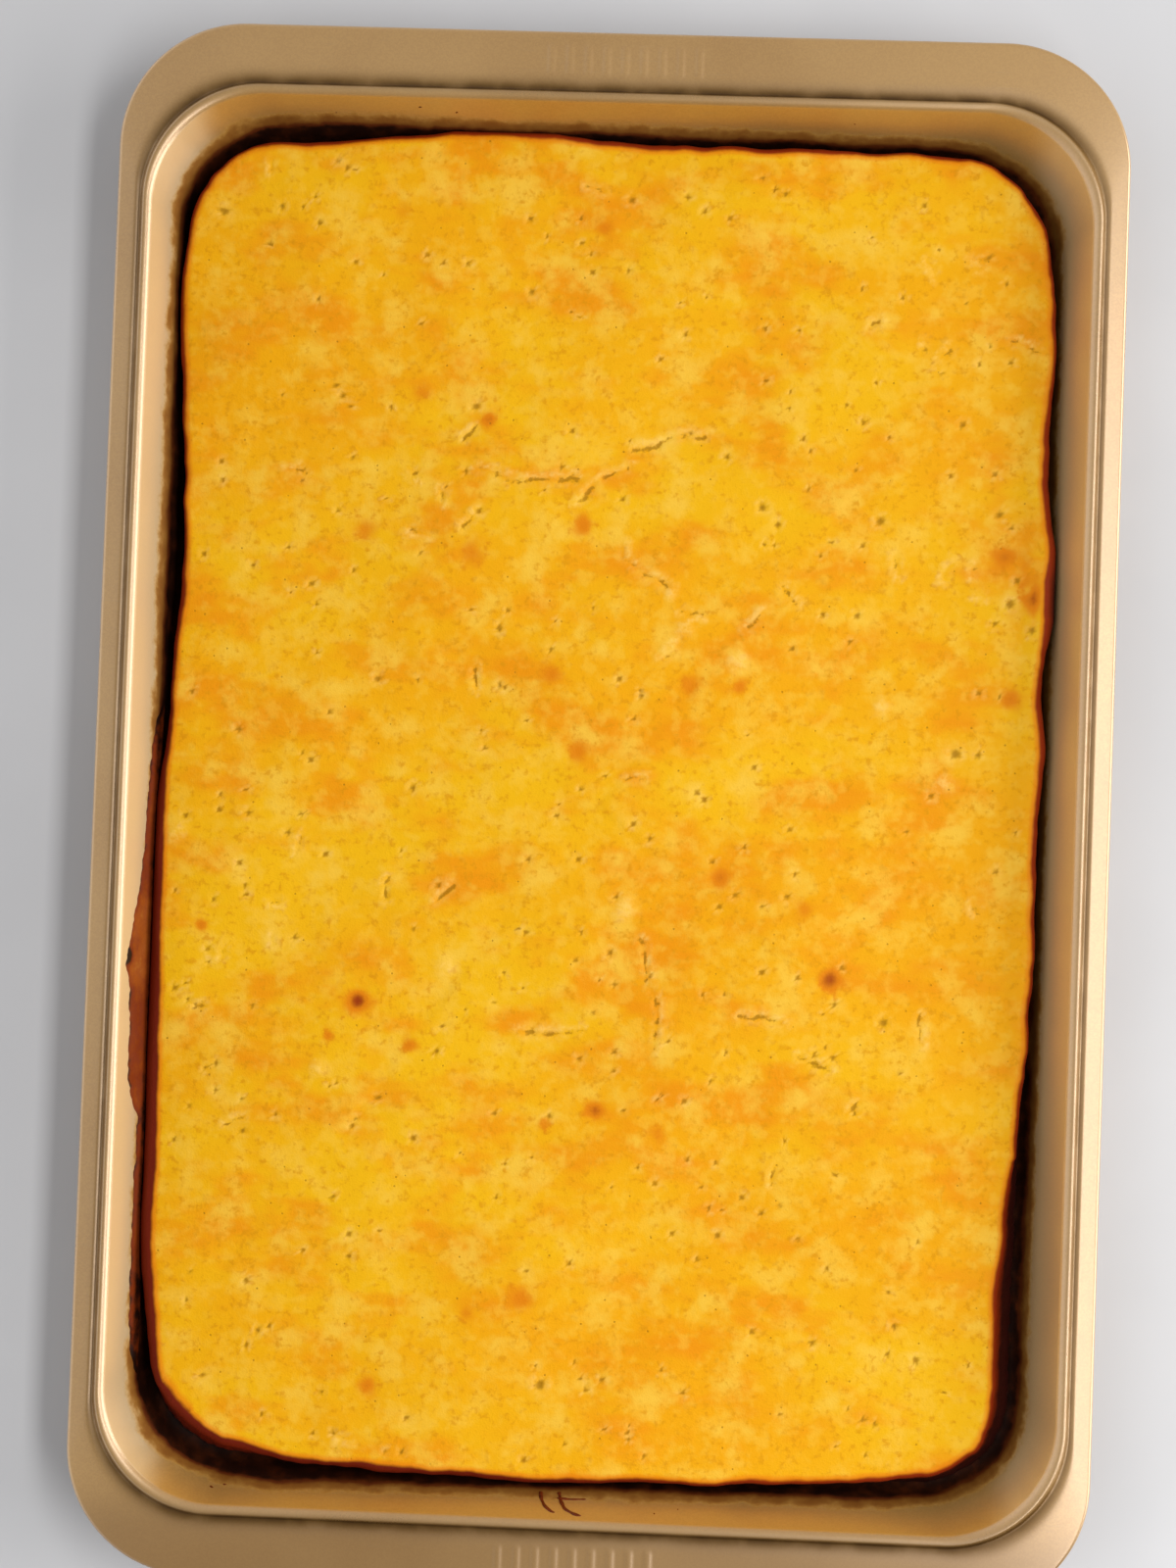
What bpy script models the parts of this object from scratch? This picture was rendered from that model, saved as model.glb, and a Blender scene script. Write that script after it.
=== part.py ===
"""A sheet pan pancake, baked in and served from its own rimmed steel pan.

Metres, +Z up. X runs across the pan, Y along it, and the origin is on the table
under the middle of the pan.
"""
import math

import bmesh
import bpy

# The pan, over all
PAN_WIDTH = 0.306
PAN_LENGTH = 0.469
PAN_HEIGHT = 0.026
STEEL = 0.0008

# The rim, from the outer edge inwards: hem, flange, bead
SIDE_FLANGE = 0.007
END_FLANGE = 0.018
FLANGE_FALL = 0.0005
FLANGE_CORNER = 0.038
HEM_RADIUS = 0.0012
HEM_DROP = 0.0022
BEAD_WIDTH = 0.0040
BEAD_RISE = 0.0021
BEAD_CORNER = 0.036

# The bead's section, from the top of the wall to the foot of its outer step:
# the part of its width, and the part of its rise left below the crest
BEAD_SECTION = (
    (0.00, 0.57),
    (0.08, 0.14),
    (0.30, 0.00),
    (0.55, 0.00),
    (0.80, 0.40),
    (0.92, 0.90),
    (1.00, 1.00),
)

# The wall and the round foot where it meets the floor
WALL_LEAN = 0.41
FOOT_RADIUS = 0.006
FOOT_STEPS = 3

# The pancake, and how close it comes to the steel
PANCAKE_THICKNESS = 0.0118
EDGE_ROUNDING = 0.0026
REST_GAP = 0.0003
TOUCH_GAP = 0.0004
EDGE_GAP = 0.0033

# Where the cooked edge clings to the wall or has drawn back from it:
# X, Y, how far the place reaches, and what it adds to the usual gap
EDGE_PLACES = (
    (0.137, -0.135, 0.050, 0.0062),
    (0.122, -0.193, 0.040, 0.0062),
    (-0.120, -0.197, 0.030, 0.0068),
    (0.126, 0.193, 0.030, 0.0036),
    (-0.118, 0.202, 0.036, 0.0024),
    (-0.037, 0.207, 0.024, -0.0044),
    (0.137, 0.072, 0.018, -0.0040),
    (-0.137, 0.078, 0.036, 0.0022),
    (-0.137, -0.020, 0.040, -0.0016),
)

# The top: a low crown, and long swells with their wavelengths along X and Y,
# their rise and their phase
CROWN = 0.0006
TOP_SWELLS = (
    (0.170, 0.260, 0.00035, 0.6),
    (0.095, -0.130, 0.00022, 2.1),
    (-0.060, 0.085, 0.00014, 4.0),
)

# Steps round each ring (on a corner, along an end, along a side), the levels of
# the rings up the pancake's side, round its edge, and in to its middle
PAN_STEPS = (14, 1, 1)
PANCAKE_STEPS = (10, 15, 25)
SIDE_LEVELS = (0.0, 0.12, 0.3, 0.6, 1.0)
EDGE_TURNS = (30.0, 60.0, 90.0)
TOP_RINGS = 8

PAN_SHARP_ANGLE = 40.0
PANCAKE_SHARP_ANGLE = 50.0

# Worked out from the sizes above
OPENING_WIDTH = PAN_WIDTH - 2 * (SIDE_FLANGE + BEAD_WIDTH)
OPENING_LENGTH = PAN_LENGTH - 2 * (END_FLANGE + BEAD_WIDTH)
OPENING_CORNER = BEAD_CORNER - BEAD_WIDTH / 2
WALL_TOP = PAN_HEIGHT - BEAD_SECTION[0][1] * BEAD_RISE
LEAN_ANGLE = math.atan(WALL_LEAN)
PANCAKE_BASE = STEEL + REST_GAP
PANCAKE_TOP = PANCAKE_BASE + PANCAKE_THICKNESS
PANCAKE_EDGE = PANCAKE_TOP - EDGE_ROUNDING


def clear_scene():
    """Remove whatever the scene already holds."""
    for thing in list(bpy.data.objects):
        bpy.data.objects.remove(thing, do_unlink=True)


def make_material(name, colour, roughness, metallic):
    """A plain Principled finish for one sub-part."""
    material = bpy.data.materials.new(name)
    material.use_nodes = True
    shader = material.node_tree.nodes["Principled BSDF"]
    shader.inputs["Base Color"].default_value = (*colour, 1.0)
    shader.inputs["Roughness"].default_value = roughness
    shader.inputs["Metallic"].default_value = metallic
    return material


def ring(width, length, corner, steps):
    """Places and outward directions round a rectangle with round corners.

    Each quarter turns round its corner's centre, and then follows the straight
    to the next corner, so that every ring has the same number of places.
    """
    corner_steps, end_steps, side_steps = steps
    centre_x = width / 2 - corner
    centre_y = length / 2 - corner
    quarters = (
        (centre_x, centre_y, 0.0, end_steps),
        (-centre_x, centre_y, 90.0, side_steps),
        (-centre_x, -centre_y, 180.0, end_steps),
        (centre_x, -centre_y, 270.0, side_steps),
    )
    places = []
    for index, (x, y, start, straight_steps) in enumerate(quarters):
        for step in range(corner_steps + 1):
            turn = math.radians(start + 90.0 * step / corner_steps)
            across = math.cos(turn)
            along = math.sin(turn)
            places.append((x + corner * across, y + corner * along, across, along))
        last_x, last_y, across, along = places[-1]
        following = quarters[(index + 1) % len(quarters)]
        next_x = following[0] + corner * across
        next_y = following[1] + corner * along
        for step in range(1, straight_steps):
            part = step / straight_steps
            x_here = last_x + (next_x - last_x) * part
            y_here = last_y + (next_y - last_y) * part
            places.append((x_here, y_here, across, along))
    return places


def opening_ring(outset, steps):
    """The ring that follows the pan's opening, so far outside it, or inside if negative."""
    return ring(
        OPENING_WIDTH + 2 * outset,
        OPENING_LENGTH + 2 * outset,
        OPENING_CORNER + outset / 2,
        steps,
    )


def edge_ring(inset, steps):
    """The ring that follows the flange's outer edge, so far inside it."""
    return ring(
        PAN_WIDTH - 2 * inset,
        PAN_LENGTH - 2 * inset,
        FLANGE_CORNER - inset,
        steps,
    )


def wall_outset(height):
    """Where the pan's inner face stands at a height, as an outset from the opening.

    The wall leans in steadily as it goes down. Its round foot is an arc that touches
    both the wall and the floor.
    """
    foot_top = STEEL + FOOT_RADIUS * (1 - math.sin(LEAN_ANGLE))
    if height >= foot_top:
        return -WALL_LEAN * (WALL_TOP - height)
    drop = STEEL + FOOT_RADIUS - height
    return foot_centre_outset() + math.sqrt(FOOT_RADIUS**2 - drop**2)


def foot_centre_outset():
    """The outset of the centre of the arc at the wall's foot."""
    wall_at_floor = -WALL_LEAN * (WALL_TOP - STEEL)
    reach = FOOT_RADIUS * math.tan((math.pi / 2 - LEAN_ANGLE) / 2)
    return wall_at_floor - reach


def pan_rings():
    """Rings with their heights over the pan's upper face, from the floor to the hem."""
    rings = []
    arc = math.pi / 2 - LEAN_ANGLE
    for step in range(FOOT_STEPS + 1):
        turn = arc * step / FOOT_STEPS
        outset = foot_centre_outset() + FOOT_RADIUS * math.sin(turn)
        height = STEEL + FOOT_RADIUS * (1 - math.cos(turn))
        rings.append((opening_ring(outset, PAN_STEPS), height))
    for across, fall in BEAD_SECTION:
        outset = BEAD_WIDTH * across
        height = PAN_HEIGHT - BEAD_RISE * fall
        rings.append((opening_ring(outset, PAN_STEPS), height))
    flange_height = PAN_HEIGHT - BEAD_RISE - FLANGE_FALL
    rings.append((edge_ring(HEM_RADIUS, PAN_STEPS), flange_height))
    rings.append((edge_ring(0.0, PAN_STEPS), flange_height - HEM_RADIUS))
    rings.append((edge_ring(0.0, PAN_STEPS), flange_height - HEM_DROP))
    return rings


def add_band(mesh, lower, upper):
    """Join two rows of equally many corners with a band of faces.

    The band faces outwards where the second row stands above the first.
    """
    count = len(lower)
    for index in range(count):
        after = (index + 1) % count
        mesh.faces.new((lower[index], lower[after], upper[after], upper[index]))


def add_row(mesh, places, height):
    """A closed row of corners at one height."""
    return [mesh.verts.new((place[0], place[1], height)) for place in places]


def add_object(name, mesh, material, collection, sharp_angle):
    """Make an object of a finished mesh, shaded smooth between its sharp edges."""
    data = bpy.data.meshes.new(name)
    mesh.to_mesh(data)
    mesh.free()
    data.materials.append(material)
    data.shade_smooth()
    data.set_sharp_from_angle(angle=math.radians(sharp_angle))
    made = bpy.data.objects.new(name, data)
    collection.objects.link(made)
    return made


def make_pan(collection):
    """The pressed steel pan: its upper face as a loft, given its thickness downwards."""
    mesh = bmesh.new()
    rows = [add_row(mesh, places, height) for places, height in pan_rings()]
    mesh.faces.new(rows[0])
    for inner, outer in zip(rows, rows[1:]):
        add_band(mesh, outer, inner)
    finish = make_material("champagne_nonstick", (0.50, 0.36, 0.19), 0.38, 0.75)
    pan = add_object("pan", mesh, finish, collection, PAN_SHARP_ANGLE)
    wall = pan.modifiers.new("steel", "SOLIDIFY")
    wall.thickness = STEEL
    wall.offset = -1.0
    wall.use_even_offset = True
    return pan


def edge_gap(x, y):
    """How far the cooked edge stands from the wall beside a place on it.

    The usual gap, plus what each named place adds, which fades with the square of
    the distance from it.
    """
    gap = EDGE_GAP
    for place_x, place_y, reach, amount in EDGE_PLACES:
        away = math.hypot(x - place_x, y - place_y) / reach
        gap += amount * math.exp(-away * away)
    return max(gap, TOUCH_GAP)


def top_height(x, y):
    """Height of the pancake's top: a low crown with a few long swells on it."""
    across = 2 * x / OPENING_WIDTH
    along = 2 * y / OPENING_LENGTH
    height = PANCAKE_TOP + CROWN * (1 - across * across) * (1 - along * along)
    for length_x, length_y, rise, phase in TOP_SWELLS:
        height += rise * math.sin(2 * math.pi * (x / length_x + y / length_y) + phase)
    return height


def side_ring(level):
    """One ring round the pancake's side, at a part of the way from its base to its edge.

    At the base it keeps the touching gap inside the pan's wall, and at the edge the
    whole edge gap.
    """
    height = PANCAKE_BASE + (PANCAKE_EDGE - PANCAKE_BASE) * level
    wall = opening_ring(wall_outset(height), PANCAKE_STEPS)
    guide = opening_ring(wall_outset(PANCAKE_EDGE), PANCAKE_STEPS)
    places = []
    for (x, y, across, along), (guide_x, guide_y, _, _) in zip(wall, guide):
        gap = TOUCH_GAP + (edge_gap(guide_x, guide_y) - TOUCH_GAP) * level
        places.append((x - across * gap, y - along * gap, across, along))
    return places, height


def add_edge_row(mesh, edge, turn):
    """A row of corners round the pancake's rounded edge, so many degrees up the arc."""
    inset = EDGE_ROUNDING * (1 - math.cos(math.radians(turn)))
    rise = math.sin(math.radians(turn))
    row = []
    for x, y, across, along in edge:
        x_here = x - across * inset
        y_here = y - along * inset
        height = PANCAKE_EDGE + (top_height(x_here, y_here) - PANCAKE_EDGE) * rise
        row.append(mesh.verts.new((x_here, y_here, height)))
    return row


def add_top_row(mesh, shoulder, size):
    """A row of corners on the pancake's top, shrunk towards its middle."""
    row = []
    for corner in shoulder:
        x = corner.co.x * size
        y = corner.co.y * size
        row.append(mesh.verts.new((x, y, top_height(x, y))))
    return row


def make_pancake(collection):
    """The pancake: rings up its side, over its rounded edge and in to its middle."""
    mesh = bmesh.new()
    sides = [side_ring(level) for level in SIDE_LEVELS]
    rows = [add_row(mesh, places, height) for places, height in sides]
    edge = sides[-1][0]
    rows += [add_edge_row(mesh, edge, turn) for turn in EDGE_TURNS]
    shoulder = rows[-1]
    for step in range(1, TOP_RINGS):
        rows.append(add_top_row(mesh, shoulder, 1 - step / TOP_RINGS))

    mesh.faces.new(reversed(rows[0]))
    for lower, upper in zip(rows, rows[1:]):
        add_band(mesh, lower, upper)
    middle = mesh.verts.new((0.0, 0.0, top_height(0.0, 0.0)))
    last = rows[-1]
    for index, corner in enumerate(last):
        mesh.faces.new((corner, last[(index + 1) % len(last)], middle))
    finish = make_material("baked_crust", (0.80, 0.47, 0.10), 0.6, 0.0)
    return add_object("pancake", mesh, finish, collection, PANCAKE_SHARP_ANGLE)


def main():
    """Build the pan with the pancake in it."""
    clear_scene()
    collection = bpy.data.collections.new("sheet_pan_pancake")
    bpy.context.scene.collection.children.link(collection)
    make_pan(collection)
    make_pancake(collection)


main()
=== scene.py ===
"""The looks of a sheet pan pancake, in the pan that it was baked in and is served from.

Metres, +Z up, in the frame's own place: X runs across the pan, Y along it, and the
table is at zero.
"""
import math

import bpy
import numpy as np
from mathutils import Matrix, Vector


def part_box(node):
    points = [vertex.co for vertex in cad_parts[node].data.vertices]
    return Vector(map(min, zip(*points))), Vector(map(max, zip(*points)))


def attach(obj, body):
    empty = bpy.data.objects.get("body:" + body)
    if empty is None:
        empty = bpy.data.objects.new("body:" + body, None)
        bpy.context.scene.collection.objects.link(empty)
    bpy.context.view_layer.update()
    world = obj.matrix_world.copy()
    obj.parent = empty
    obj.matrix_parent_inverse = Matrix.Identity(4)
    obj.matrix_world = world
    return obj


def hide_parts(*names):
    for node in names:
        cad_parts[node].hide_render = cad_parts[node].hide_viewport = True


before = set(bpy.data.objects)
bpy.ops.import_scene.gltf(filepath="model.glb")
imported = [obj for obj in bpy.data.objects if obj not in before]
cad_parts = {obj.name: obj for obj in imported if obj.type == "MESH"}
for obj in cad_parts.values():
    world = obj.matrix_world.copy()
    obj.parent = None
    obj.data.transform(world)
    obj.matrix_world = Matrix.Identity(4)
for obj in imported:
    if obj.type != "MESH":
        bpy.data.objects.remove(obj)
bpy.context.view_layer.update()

# ------------------------------------------------------------------ the pan
# The pan is one sheet of steel 0.8 mm thick, pressed into a tray. Its wall leans outwards
# to a raised bead, and round the bead lies a flat flange, wide at both ends, where short
# ribs are pressed up for the fingers. The flange's edge is hemmed downwards.
MM = 0.001
pan_low, pan_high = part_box("pan")
PAN_WIDTH, PAN_LENGTH, PAN_HEIGHT = pan_high - pan_low
STEEL = 0.8 * MM
SIDE_FLANGE = 7.0 * MM
END_FLANGE = 18.0 * MM
FLANGE_FALL = 0.8 * MM
FLANGE_CORNER = 38.0 * MM
HEM_RADIUS = 1.2 * MM
HEM_DROP = 2.2 * MM
BEAD_WIDTH = 4.0 * MM
BEAD_RISE = 2.1 * MM
BEAD_CORNER = 36.0 * MM
LIP_RADIUS = 2.8 * MM
LIP_DROP = 1.2 * MM
GROOVE_DEPTH = 0.5 * MM
GROOVE_HALF = 1.0 * MM
WALL_LEAN = 0.41
FOOT_RADIUS = 6.0 * MM
CREASE_DEPTH = 0.09 * MM
CREASE_FOOT = 4.0 * MM
CREASES_PER_CORNER = 7
RIBS_PER_END = 9
RIB_PITCH = 5.6 * MM
RIB_HALF_WIDTH = 1.0 * MM
RIB_HALF_LENGTH = 4.3 * MM
RIB_RISE = 0.14 * MM
RIB_SOFTNESS = 0.9 * MM
# Heights of the batter baked on to the inner wall; its thick, nearly black part at the foot is partly
# painted shade in the gap by the pancake
STAIN_AND_SHADE_FULL = 8.0 * MM
STAIN_AND_SHADE_TOP = 11.5 * MM
WASH_TOP = 19.0 * MM
STAIN_AND_SHADE_TILT = 0.02
STAIN_AND_SHADE_AT_ENDS = 3.5 * MM

OPENING_WIDTH = PAN_WIDTH - 2 * (SIDE_FLANGE + BEAD_WIDTH)
OPENING_LENGTH = PAN_LENGTH - 2 * (END_FLANGE + BEAD_WIDTH)
OPENING_CORNER = BEAD_CORNER - BEAD_WIDTH / 2
WALL_TOP = PAN_HEIGHT - LIP_DROP
LEAN_ANGLE = math.atan(WALL_LEAN)
LIP_FOOT = PAN_HEIGHT - LIP_RADIUS * (1 - math.sin(LEAN_ANGLE))
CREST = -WALL_LEAN * (WALL_TOP - LIP_FOOT) + LIP_RADIUS * math.cos(LEAN_ANGLE)
FOOT_REACH = FOOT_RADIUS * math.tan((math.pi / 2 - LEAN_ANGLE) / 2)
FOOT_CENTRE = -WALL_LEAN * (WALL_TOP - STEEL) - FOOT_REACH


def smooth_step(part):
    """Rises from 0 to 1 as the part does, level at both ends: 3 p squared minus 2 p cubed."""
    part = np.clip(part, 0.0, 1.0)
    return part * part * (3 - 2 * part)


def walk_round(corner, end, side):
    """One lap of a rectangle with round corners, as four numbers a column.

    Each quarter turns its outward direction by 90 degrees at one corner's centre, then
    keeps it while the centre slides along the straight to the next corner. A column is
    its centre, from -1 to 1 both ways, and its outward direction.
    """
    signs = ((1, 1), (-1, 1), (-1, -1), (1, -1))
    legs = []
    for quarter, (start, stop) in enumerate(zip(signs, signs[1:] + signs[:1])):
        slide = side if quarter % 2 else end
        moved = np.concatenate([np.zeros(corner.size), slide])
        turn = np.concatenate([corner, np.ones(slide.size)])
        angle = math.pi / 2 * (quarter + turn)
        centre_x = start[0] + (stop[0] - start[0]) * moved
        centre_y = start[1] + (stop[1] - start[1]) * moved
        legs.append(np.stack([centre_x, centre_y, np.cos(angle), np.sin(angle)]))
    return np.concatenate(legs, axis=1)


def round_rectangle(lap, width, length, corner):
    """Places round a rectangle: each column's centre, plus the corner's radius outwards."""
    x = lap[0] * (width / 2 - corner) + corner * lap[2]
    y = lap[1] * (length / 2 - corner) + corner * lap[3]
    return x, y


def along_opening(lap, outset):
    """The ring that follows the pan's opening, so far outside it."""
    corner = OPENING_CORNER + outset / 2
    return round_rectangle(lap, OPENING_WIDTH + 2 * outset, OPENING_LENGTH + 2 * outset, corner)


def along_edge(lap, inset):
    """The ring that follows the flange's outer edge, so far inside it."""
    corner = FLANGE_CORNER - inset
    return round_rectangle(lap, PAN_WIDTH - 2 * inset, PAN_LENGTH - 2 * inset, corner)


def sheet_section():
    """The sheet's upper face from the wall's foot out to the hem, as five numbers a row.

    The foot is an arc that touches floor and wall, the lip an arc from the wall up to the
    bead's crest, and the bead's outer step a smooth step down, with a shallow groove, a
    bell, at its foot. The blend says how far a row has passed from following the opening
    to following the flange's edge, and the way is the distance outwards in all.
    """
    turn = np.linspace(0, math.pi / 2 - LEAN_ANGLE, 9)
    foot_height = STEEL + FOOT_RADIUS * (1 - np.cos(turn))
    wall_height = np.linspace(foot_height[-1], LIP_FOOT, 11)[1:]
    turn_lip = np.linspace(LEAN_ANGLE, math.pi / 2, 15)[1:]
    across = np.linspace(0, 1, 11)[1:]
    outset = np.concatenate([
        FOOT_CENTRE + FOOT_RADIUS * np.sin(turn),
        -WALL_LEAN * (WALL_TOP - wall_height),
        CREST - LIP_RADIUS * np.cos(turn_lip),
        CREST + (BEAD_WIDTH - CREST) * across,
    ])
    height = np.concatenate([
        foot_height,
        wall_height,
        PAN_HEIGHT - LIP_RADIUS * (1 - np.sin(turn_lip)),
        PAN_HEIGHT - BEAD_RISE * smooth_step(across),
    ])
    blend = np.concatenate([[0.03, 0.07, 0.11], np.linspace(0.16, 1, 20)])
    turn_hem = np.linspace(0, math.pi / 2, 8)[1:]
    flange_height = PAN_HEIGHT - BEAD_RISE - FLANGE_FALL
    hem_height = flange_height - HEM_RADIUS * (1 - np.cos(turn_hem))
    hem_side = flange_height - np.linspace(HEM_RADIUS, HEM_DROP, 3)[1:]
    hem_inset = np.concatenate([HEM_RADIUS * (1 - np.sin(turn_hem)), np.zeros(2)])

    inner, outer = outset.size, hem_inset.size
    outset = np.concatenate([outset, np.full(blend.size + outer, BEAD_WIDTH)])
    inset = np.concatenate([np.full(inner + blend.size, HEM_RADIUS), hem_inset])
    height = np.concatenate([
        height, PAN_HEIGHT - BEAD_RISE - FLANGE_FALL * blend, hem_height, hem_side,
    ])
    blend = np.concatenate([np.zeros(inner), blend, np.ones(outer)])
    way = outset + blend * SIDE_FLANGE + HEM_RADIUS - inset
    height -= GROOVE_DEPTH * np.exp(-(((way - BEAD_WIDTH) / GROOVE_HALF) ** 2))
    return outset, inset, blend, height, way


def rib_rise(x, y):
    """The finger ribs: a row of bars across the middle of each end flange.

    A bar's rise is one smooth step of the distance inside its long edges, times another
    of the distance inside its ends.
    """
    nearest = np.clip(np.round(x / RIB_PITCH), -(RIBS_PER_END // 2), RIBS_PER_END // 2)
    off_x = np.abs(x - nearest * RIB_PITCH)
    middle_y = PAN_LENGTH / 2 - END_FLANGE / 2
    off_y = np.abs(np.abs(y) - middle_y)
    inside_x = smooth_step((RIB_HALF_WIDTH + RIB_SOFTNESS / 2 - off_x) / RIB_SOFTNESS)
    inside_y = smooth_step((RIB_HALF_LENGTH + RIB_SOFTNESS / 2 - off_y) / RIB_SOFTNESS)
    return RIB_RISE * inside_x * inside_y


def ring_faces(rows, columns):
    """Quads between neighbouring rings of a grid; rings that grow outwards face up."""
    column = np.arange(columns)
    first = np.arange(rows - 1)[:, None] * columns + column
    after = np.arange(rows - 1)[:, None] * columns + (column + 1) % columns
    return np.stack([first, first + columns, after + columns, after], axis=-1).reshape(-1, 4)


def fan_faces(middle, ring):
    """Triangles from a middle point to each side of a closed ring."""
    return np.stack([np.full(ring.size, middle), ring, np.roll(ring, -1)], axis=-1)


def raise_piece(name, points, *faces):
    """A piece of the given points and rows of faces, shaded smooth."""
    mesh = bpy.data.meshes.new(name)
    corners = [corner for rows in faces for corner in rows.tolist()]
    mesh.from_pydata(points.tolist(), [], corners)
    mesh.shade_smooth()
    piece = bpy.data.objects.new(name, mesh)
    bpy.context.scene.collection.objects.link(piece)
    return piece


def keep_values(piece, name, values):
    """Keep one number a vertex on the piece, under a name that its material reads."""
    layer = piece.data.attributes.new(name, "FLOAT", "POINT")
    layer.data.foreach_set("value", np.ravel(values).astype(np.float32))


def press_pan():
    """The pan: the sheet's section carried round the tray, above and below, and its floor.

    The lower face is the upper one moved back by the steel's thickness, square to the
    section. Creases in the round corners are a cosine of the turn that fades at both
    ends of the quarter, and towards the wall's foot and lip.
    """
    # Each end's straight has most of its columns where the ribs are
    ribbed = RIB_PITCH * (RIBS_PER_END + 1) / 2 / (PAN_WIDTH / 2 - FLANGE_CORNER)
    plain = np.linspace(-1, -ribbed, 12)[1:-1]
    end = (np.concatenate([plain, np.linspace(-ribbed, ribbed, 109), -plain[::-1]]) + 1) / 2
    lap = walk_round(np.linspace(0, 1, 41), end, np.linspace(0, 1, 60)[1:-1])
    outset, inset, blend, height, way = sheet_section()
    slope = np.hypot(np.gradient(way), np.gradient(height))
    back_way = STEEL * np.gradient(height) / slope
    back_height = -STEEL * np.gradient(way) / slope
    below = np.arange(way.size - 1, -1, -2)
    below = below if below[-1] == 0 else np.append(below, 0)
    turn = np.linspace(0, math.pi, 5)[1:-1]
    end_way = back_way[-1] * (1 - np.cos(turn)) / 2
    end_drop = STEEL / 2 * np.sin(turn)

    shift = np.concatenate([np.zeros(way.size), end_way, back_way[below]])
    row = np.concatenate([np.arange(way.size), np.full(turn.size, way.size - 1), below])
    lift = np.concatenate([np.zeros(way.size), -end_drop, back_height[below]])
    open_x, open_y = along_opening(lap, (outset[row] + shift)[:, None])
    edge_x, edge_y = along_edge(lap, (inset[row] - shift)[:, None])
    part = blend[row][:, None]
    x = open_x + (edge_x - open_x) * part
    y = open_y + (edge_y - open_y) * part
    z = (height[row] + lift)[:, None] + rib_rise(x, y)

    corner_turn = np.arctan2(lap[3], lap[2]) * 2 / math.pi % 1.0
    up_wall = np.clip((height[row] - CREASE_FOOT) / (PAN_HEIGHT - CREASE_FOOT), 0, 1)
    on_wall = (np.sin(up_wall * math.pi) * (blend[row] == 0))[:, None]
    crease = np.cos(2 * math.pi * CREASES_PER_CORNER * corner_turn)
    crease = crease * np.sin(math.pi * corner_turn) ** 2
    x += CREASE_DEPTH * crease * on_wall * lap[2]
    y += CREASE_DEPTH * crease * on_wall * lap[3]

    floor_rings = np.array([0.3, 0.6, 0.85])[:, None]
    x = np.concatenate([x[0] * floor_rings, x, x[-1] * floor_rings[::-1]])
    y = np.concatenate([y[0] * floor_rings, y, y[-1] * floor_rings[::-1]])
    z = np.concatenate([z[0] + 0 * floor_rings, z, z[-1] + 0 * floor_rings])
    rows, columns = x.shape
    points = np.stack([x, y, z], axis=-1).reshape(-1, 3)
    points = np.concatenate([points, [[0, 0, STEEL], [0, 0, 0]]])
    first = np.arange(columns)
    last = (first + (rows - 1) * columns)[::-1]
    middle = rows * columns
    pan = raise_piece(
        "pan_body",
        points,
        ring_faces(rows, columns),
        fan_faces(middle, first),
        fan_faces(middle + 1, last),
    )
    crest = np.exp(-(((way - CREST) / (0.4 * BEAD_WIDTH)) ** 2))
    hem = inset < 0.7 * HEM_RADIUS
    groove = np.exp(-(((way - BEAD_WIDTH + 0.3 * GROOVE_HALF) / (1.3 * GROOVE_HALF)) ** 2))
    shown = (
        ("inner_face", 1.0, outset < 0),
        ("rubbed_edge", 0.0, np.maximum(crest, hem)),
        ("groove", 0.0, groove),
    )
    for name, on_floor, on_section in shown:
        floor = np.full(floor_rings.size, on_floor)
        underside = np.zeros(rows - floor.size - on_section.size)
        values = np.repeat(np.concatenate([floor, on_section, underside]), columns)
        keep_values(pan, name, np.append(values, [on_floor, 0.0]))
    return pan


def add_node(tree, kind, inputs=None, **settings):
    """Add a node, set its properties, then link or set each input by its name or number."""
    node = tree.nodes.new(kind)
    for name, value in settings.items():
        setattr(node, name, value)
    for socket, value in (inputs or {}).items():
        if isinstance(value, bpy.types.NodeSocket):
            tree.links.new(value, node.inputs[socket])
        else:
            node.inputs[socket].default_value = value
    return node


def reckon(tree, operation, first, second=0.0):
    """The result of a Math node on two values."""
    return add_node(tree, "ShaderNodeMath", {0: first, 1: second}, operation=operation).outputs[0]


def between(tree, value, low, high, start=0.0, stop=1.0):
    """A smooth change from start to stop as the value goes from low to high."""
    inputs = {"Value": value, "From Min": low, "From Max": high, "To Min": start, "To Max": stop}
    node = add_node(tree, "ShaderNodeMapRange", inputs, interpolation_type="SMOOTHSTEP")
    return node.outputs[0]


def blend_colours(tree, part, first, second):
    """The first colour, going over to the second by the part.

    A Mix node's colours are its inputs 6 and 7 and its output 2.
    """
    first = first if isinstance(first, bpy.types.NodeSocket) else (*first, 1.0)
    second = second if isinstance(second, bpy.types.NodeSocket) else (*second, 1.0)
    inputs = {0: part, 6: first, 7: second}
    return add_node(tree, "ShaderNodeMix", inputs, data_type="RGBA").outputs[2]


def noise(tree, place, size, detail=2.0, roughness=0.5):
    """Cloudy values round one half, whose patches are about so many metres across."""
    inputs = {"Vector": place, "Scale": 1 / size, "Detail": detail, "Roughness": roughness}
    return add_node(tree, "ShaderNodeTexNoise", inputs).outputs["Fac"]


def read_value(tree, name):
    """A number that was kept on the piece's vertices."""
    return add_node(tree, "ShaderNodeAttribute", attribute_name=name).outputs["Fac"]


def start_finish(name):
    """A new material, its node tree, its shader and its Object coordinates."""
    finish = bpy.data.materials.new(name)
    finish.use_nodes = True
    tree = finish.node_tree
    place = add_node(tree, "ShaderNodeTexCoord").outputs["Object"]
    return finish, tree, tree.nodes["Principled BSDF"], place


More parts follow.
